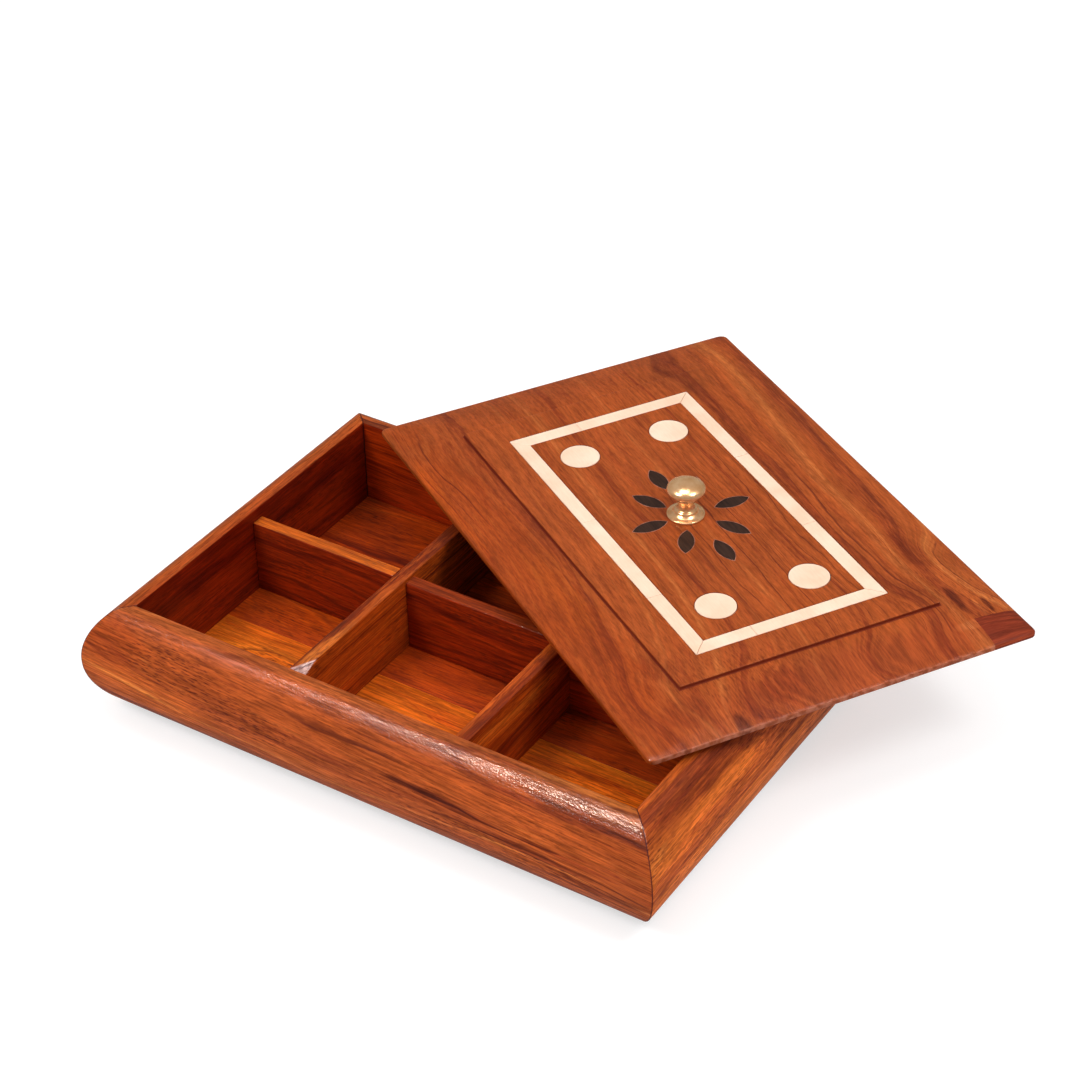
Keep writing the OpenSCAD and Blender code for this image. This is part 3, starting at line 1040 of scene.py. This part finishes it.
END_RAIL_FIGURE = {
    "tints": [
        ((-4.5, -12.0, 2.6), (9.0, 2.5, 1.7), (1.46, 1.62, 1.46)),
        # Painted shadow of the lid along the top of the right rail.
        ((-3.0, -11.9, 4.3), (5.5, 0.8, 0.45), (0.62, 0.50, 0.46)),
        ((0.0, 11.8, 4.6), (14.0, 2.0, 2.0), (0.74, 0.58, 0.52)),
    ],
}


def rails():
    long_tones = {"main": (167, 74, 24), "dark": (138, 53, 16)}
    long_wood = wood("long_rail_wood", turn=(0, 0.05, 0), seed=(4.1, 1.3, 0.2), pith=(-2.0, -6.0), bands=0.9,
                     veins=0.9, flecks=0.65, grain=0.8, run=0.5, peel=0.07, gloss=0.14, coat=0.5,
                     tones=long_tones, figure=LONG_RAIL_FIGURE,
                     marks=rail_marks(wall_shade=(1.0, 0.45, 0.12), top_light=(0.94, 1.08, 1.2)))
    end_tones = {"main": (180, 84, 26), "pale": (200, 110, 44), "dark": (148, 61, 19), "vein": (98, 34, 12)}
    end_wood = wood("end_rail_wood", turn=ACROSS, seed=(9.2, 3.1, 2.4), pith=(2.0, -5.0), bands=1.0,
                    veins=0.4, grain=0.75, peel=0.06, tones=end_tones, figure=END_RAIL_FIGURE,
                    marks=rail_marks(wall_shade=(0.50, 0.18, 0.07), top_light=(0.95, 0.9, 0.8)))
    for name, length, reach, turn, slot, material, seed in (
        ("back_rail", INNER_L, INNER_W / 2, 0, "long_rail_wood", long_wood, 4.1),
        ("front_rail", INNER_L, INNER_W / 2, math.pi, "long_rail_wood", long_wood, 1.3),
        ("left_rail", INNER_W, INNER_L / 2, math.pi / 2, "end_rail_wood", end_wood, 7.7),
        ("right_rail", INNER_W, INNER_L / 2, -math.pi / 2, "end_rail_wood", end_wood, 5.2),
    ):
        rail(name, length, reach, turn, material, seed)


LONG_DIVIDER_FIGURE = {
    "tints": [
        ((-5.4, 3.9, 4.6), (3.0, 1.2, 0.5), (1.3, 1.9, 2.4)),
        # Painted shadow of the lid on the divider under it.
        ((3.0, -3.0, 3.0), (3.6, 2.0, 4.0), (0.62, 0.55, 0.5)),
    ],
}


def dividers():
    long_tones = {"main": (170, 68, 12), "pale": (190, 90, 24), "dark": (122, 38, 4)}
    long_wood = wood("divider_wood_long", turn=ACROSS, seed=(2.1, 1.3, 3.1), pith=(2.5, -6.0), bands=1.2,
                     figure=LONG_DIVIDER_FIGURE, tones=long_tones, roughness=0.55, coat=0.06,
                     marks=painted_top_light((1.05, 1.25, 1.9)))
    cross_tones = {"main": (142, 40, 4), "pale": (164, 58, 10), "dark": (104, 22, 2)}
    # Painted light on the cross dividers' tops; the pale copy only has more of it.
    cross_wood, pale_cross_wood = (
        wood(name, seed=(6.1, 4.3, 1.1), pith=(2.5, 5.0), bands=1.1, tones=cross_tones, roughness=0.55,
             coat=0.06, marks=painted_top_light(top_light))
        for name, top_light in (
            ("divider_wood_cross", (0.85, 1.3, 2.0)),
            ("divider_wood_cross_pale", (1.9, 4.6, 5.2)),
        )
    )
    # The planed facet's pale pink tone is a painted highlight.
    planed_tones = {"main": (188, 126, 108), "pale": (228, 178, 164), "dark": (126, 62, 50)}
    planed_wood = wood("divider_wood_planed", turn=ACROSS, seed=(7.1, 2.3, 0.4), tones=planed_tones,
                       bands=6.0, veins=0.3, coat=0.8, peel=0.05)
    board("long_divider_left", "box", [long_wood, planed_wood], seed=2.0, edit=planed_corner)
    board("long_divider_right", "box", long_wood, seed=3.0)
    for name, material in (
        ("cross_divider_left", pale_cross_wood),
        ("cross_divider_middle", cross_wood),
        ("cross_divider_right", cross_wood),
    ):
        board(name, "box", material, seed=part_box(name)[0].x * 90)


FRONT_FLOOR_FIGURE = {
    "knots": [((-7.6, -4.0, 0.9), (1.6, 0.9, 1.0), 0.8)],
    "veins": [((-7.4, -3.9, 0.9), (2.6, 1.0, 1.0))],
    "flecks": [((-7.6, -4.2, 0.9), (2.6, 1.2, 1.0))],
    # Painted pool of light on the front of the right compartment's floor.
    "tints": [((7.6, -5.0, 0.9), (3.6, 2.0, 1.5), (1.8, 1.8, 1.5))],
}
BACK_FLOOR_FIGURE = {
    "tints": [
        ((-7.8, -1.2, 0.9), (4.4, 1.8, 1.5), (1.0, 1.1, 1.0)),
        # Painted shadow of the lid over the back of the floor.
        ((3.6, 3.6, 0.9), (6.5, 5.0, 2.0), (0.55, 0.45, 0.5)),
    ],
}


def floors():
    front_tones = {"main": (206, 94, 16), "pale": (218, 112, 26), "dark": (164, 58, 6)}
    back_tones = {"main": (162, 54, 4), "pale": (184, 72, 10), "dark": (116, 30, 2)}
    front = wood("front_floor_wood", seed=(1.5, 7.2, 4.1), pith=(4.0, -9.0), bands=0.6, swirl=1.2, veins=0.6,
                 flecks=0.8, tones=front_tones, figure=FRONT_FLOOR_FIGURE, coat=0.04)
    back = wood("back_floor_wood", seed=(3.5, 2.1, 9.0), pith=(-4.0, -8.0), bands=0.7, swirl=1.2,
                tones=back_tones, figure=BACK_FLOOR_FIGURE, coat=0.04)
    for name, slot, material in (
        ("floor_board_front", "front_floor_wood", front),
        ("floor_board_back", "back_floor_wood", back),
    ):
        board(name, "box", material, ease=0.15 * MM, amount=0.05 * MM)

    dark_tones = {"main": (66, 24, 14), "pale": (84, 34, 20), "dark": (44, 16, 10)}
    base_wood = wood("base_wood", tones=dark_tones, roughness=0.6, coat=0.05)
    board("base_plate", "box", base_wood, ease=0.4 * MM, amount=0.02 * MM)


LID_FIGURE = {
    "knots": [
        ((7.6, 7.4, 1.4), (2.6, 1.7, 2.0), 1.6),
        ((11.6, -4.0, 1.8), (1.4, 0.8, 1.0), 0.8),
        ((9.0, -6.0, 1.4), (1.6, 1.3, 1.0), 0.9),
        ((-8.5, -7.4, -0.4), (2.5, 0.9, 1.0), 0.5),
        ((-10.4, 3.6, -0.6), (1.6, 0.8, 1.0), 0.6),
        ((9.0, 4.6, 1.6), (1.3, 0.8, 1.0), -0.8),
        ((10.6, 1.8, 1.8), (1.1, 1.0, 1.0), 0.9),
        ((10.2, -2.4, 1.8), (1.3, 1.1, 1.0), 1.0),
        ((5.6, 6.6, 1.2), (1.8, 0.7, 1.0), 0.7),
    ],
    "veins": [
        ((2.5, 2.0, 0.8), (7.5, 5.0, 4.0)),
        ((8.0, 6.0, 1.4), (4.0, 2.5, 4.0)),
        ((-7.0, -7.4, 0.0), (5.0, 0.6, 4.0)),
    ],
    "flecks": [
        ((8.6, 6.6, 1.4), (3.2, 1.8, 4.0)),
        ((9.8, -3.0, 1.6), (2.2, 3.4, 4.0)),
    ],
    "dark": [
        ((11.6, -4.2, 1.8), (0.75, 0.36, 4.0)),
        ((8.9, 6.2, 1.6), (0.9, 0.18, 4.0)),
        ((9.6, 7.2, 1.6), (0.5, 0.14, 4.0)),
    ],
    "pale": [
        ((10.4, 6.0, 1.6), (0.24, 0.80, 4.0)),
        ((9.7, 6.8, 1.6), (0.60, 0.14, 4.0)),
    ],
    "tints": [
        ((2.0, -7.4, 0.5), (17.0, 1.7, 4.0), (0.88, 0.72, 0.43)),
        ((-1.0, 7.3, 0.2), (13.0, 1.3, 4.0), (1.08, 1.12, 1.10)),
        ((1.8, -6.4, 0.5), (3.2, 0.9, 4.0), (1.16, 1.24, 1.10)),
        ((-5.5, -7.85, 0.0), (4.0, 0.22, 4.0), (1.30, 1.30, 0.90)),
        ((10.8, 0.5, 1.6), (1.4, 7.0, 4.0), (0.92, 0.84, 0.92)),
        ((-10.6, -1.5, -0.6), (1.3, 4.0, 4.0), (0.92, 0.90, 0.92)),
        ((8.6, 7.0, 1.4), (2.8, 1.3, 4.0), (1.10, 1.16, 1.24)),
        ((7.6, 4.4, 1.0), (1.3, 0.9, 4.0), (0.88, 0.84, 0.82)),
        ((5.6, 6.4, 1.2), (1.7, 0.5, 4.0), (0.72, 0.64, 0.64)),
        ((10.3, -2.0, 1.7), (1.0, 1.1, 4.0), (0.80, 0.72, 0.70)),
        ((-9.2, 4.7, -0.4), (2.0, 1.5, 4.0), (0.84, 0.86, 0.94)),
        ((7.6, -5.6, 1.0), (1.1, 0.6, 4.0), (0.80, 0.72, 0.70)),
        ((10.1, -5.8, 1.6), (0.9, 1.1, 4.0), (0.82, 0.74, 0.72)),
    ],
}


def lid():
    lid_tones = {"vein": (94, 33, 13), "dark": (138, 57, 20), "main": (158, 72, 26), "pale": (176, 92, 40)}
    tilt = math.radians(7)
    lid_wood = wood("lid_wood", turn=(0, tilt, LID_TURN), origin=LID.translation, seed=(5.5, 2.5, 1.2),
                    pith=(-13.0, -3.0), bands=0.7, swirl=0.9, veins=0.9, vein_width=0.08, flecks=0.4,
                    grain=0.42, run=0.3, tones=lid_tones, coat=0.3, figure=LID_FIGURE, marks=field_marks)
    patch_tones = {"main": (126, 46, 22), "pale": (142, 59, 29), "dark": (103, 33, 15)}
    patch_wood = wood("patch_wood", turn=(0, 0, LID_TURN + math.pi / 2), seed=(2.0, 9.1, 4.3),
                      tones=patch_tones, grain=0.4)
    lid_pieces(lid_wood, patch_wood)

    locator_wood = wood("locator_wood", turn=(0, 0, LID_TURN), seed=(1.2, 5.1, 7.7), roughness=0.6, coat=0.05)
    spans = [span(lid_points("locating_panel"), axis) for axis in range(3)]
    board("locating_panel", "lid", locator_wood, corners=list(zip(*spans)), ease=0.4 * MM,
          amount=0.02 * MM, matrix=LID)


def inlays():
    cream, black = pale_inlay(), dark_inlay()
    for node in STRIPS:
        inlay(node, shrink(strip_outline(node), JOINT_GAP), cream)
    for node in DISCS:
        inlay(node, disc_outline(node, -DISC_GAP), cream)
    for node in PETALS:
        inlay(node, petal_outline(node, -FILLER_IN), black)
    petal_filler(filler())


def metalwork():
    brass = metal("brass", srgb(230, 172, 116), srgb(250, 204, 154), 0.2, middle("knob"), metallic=0.68)
    steel = metal("steel", srgb(150, 150, 148), srgb(190, 190, 188), 0.35, (0, 0, 0))
    knob(brass)
    for name in ("knob_screw", "base_pins"):
        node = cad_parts[name]
        node.data.materials.clear()
        node.data.materials.append(steel)


# ---- camera, floor and light


# Fitted to the photo: place, direction from the box in degrees of azimuth and elevation, roll, and lens
CAMERA_PLACE = (0.46956, -0.67864, 0.66677)
CAMERA_AZIMUTH, CAMERA_ELEVATION, CAMERA_ROLL = 33.25, 35.73, -1.127
CAMERA_SENSOR, CAMERA_LENS = 36, 91.04


def add_camera():
    """The camera stands at the front right, looking down at the box."""
    azimuth, elevation, roll = (math.radians(a) for a in (CAMERA_AZIMUTH, CAMERA_ELEVATION, CAMERA_ROLL))
    rotation = (
        Matrix.Rotation(azimuth, 4, "Z")
        @ Matrix.Rotation(math.pi / 2 - elevation, 4, "X")
        @ Matrix.Rotation(roll, 4, "Z")
    )
    data = bpy.data.cameras.new("camera")
    data.sensor_width = CAMERA_SENSOR
    data.lens = CAMERA_LENS
    camera = new_object("camera", data)
    camera.matrix_world = Matrix.Translation(CAMERA_PLACE) @ rotation
    bpy.context.scene.camera = camera


# Brightness of the surroundings: at the horizon, overhead, in reflections, and as the camera sees them
SKY_LOW = 0.3
SKY_HIGH = 0.94
AMBIENT_GLOSS = 0.2
SKY_SEEN = 0.95
# Height, as the z of a unit direction, from which they are as bright as overhead
SKY_TOP = 0.9

WHITE = (1.0, 1.0, 1.0)
WARM = (1.0, 0.82, 0.66)
RIGHT_BOX = (0.75, 0.05, 1.15)
# Name, place, size in metres, watts, colour, and whether it only shows in the lacquer and the brass
LIGHTS = (
    ("left_box", (-0.47, -0.80, 1.17), (0.46, 0.40), 8.5, WHITE, False),
    ("right_box", RIGHT_BOX, (0.40, 0.40), 6, WHITE, False),
    ("left_glint", (-0.40, -0.70, 1.24), (0.34, 0.20), 26, WARM, True),
    ("right_glint", RIGHT_BOX, (0.40, 0.40), 15, WHITE, True),
    ("top_glint", (-0.05, 0.0, 1.2), (0.50, 0.50), 9, WHITE, True),
)
# What the lights face
LIT_POINT = (0.02, 0.03, 0.03)


def add_floor():
    """A plain pale floor, bright enough to show near white, that stays out of reflections."""
    g = Graph("floor_paint")
    speck = g.noise(g.coordinates(unit=0.1))
    g.set(
        Base_Color=g.ramp(speck, [(0.3, (0.46, 0.46, 0.46, 1)), (0.7, (0.48, 0.48, 0.48, 1))]),
        Roughness=0.9,
        Specular_IOR_Level=0.1,
        Emission_Color=(1, 1, 1, 1),
        Emission_Strength=0.6,
    )
    bm = bmesh.new()
    bmesh.ops.create_grid(bm, x_segments=8, y_segments=8, size=6.0)
    mesh = new_mesh("floor", bm)
    mesh.materials.append(g.material)
    floor = new_object("floor", mesh)
    floor.visible_glossy = False


def add_light(name, place, size, power, colour, gloss_only):
    """A soft rectangular light that faces the box."""
    data = bpy.data.lights.new(name, "AREA")
    data.shape = "RECTANGLE"
    data.size, data.size_y = size
    data.energy = power
    data.color = colour
    light = new_object(name, data)
    light.visible_diffuse = not gloss_only
    place = Vector(place)
    facing = (place - Vector(LIT_POINT)).to_track_quat("Z", "Y").to_matrix().to_4x4()
    light.matrix_world = Matrix.Translation(place) @ facing


def add_surroundings():
    """A white studio, brightest overhead and dim in reflections."""
    world = bpy.data.worlds.new("studio")
    world.use_nodes = True
    tree = world.node_tree
    background = tree.nodes["Background"]
    background.inputs["Color"].default_value = (1, 1, 1, 1)
    direction = tree.nodes.new("ShaderNodeSeparateXYZ")
    tree.links.new(tree.nodes.new("ShaderNodeTexCoord").outputs["Generated"], direction.inputs[0])
    sky = tree.nodes.new("ShaderNodeMapRange")
    sky.inputs["From Max"].default_value = SKY_TOP
    sky.inputs["To Min"].default_value = SKY_LOW
    sky.inputs["To Max"].default_value = SKY_HIGH
    tree.links.new(direction.outputs["Z"], sky.inputs["Value"])
    path = tree.nodes.new("ShaderNodeLightPath")
    strength = sky.outputs["Result"]
    for ray, value in (("Is Glossy Ray", AMBIENT_GLOSS), ("Is Camera Ray", SKY_SEEN)):
        swapped = tree.nodes.new("ShaderNodeMapRange")
        swapped.inputs["To Max"].default_value = value
        tree.links.new(strength, swapped.inputs["To Min"])
        tree.links.new(path.outputs[ray], swapped.inputs["Value"])
        strength = swapped.outputs["Result"]
    tree.links.new(strength, background.inputs["Strength"])
    bpy.context.scene.world = world


rails()
dividers()
floors()
lid()
inlays()
metalwork()
add_camera()
add_floor()
add_surroundings()
for light in LIGHTS:
    add_light(*light)
bpy.context.scene.view_settings.view_transform = "Standard"
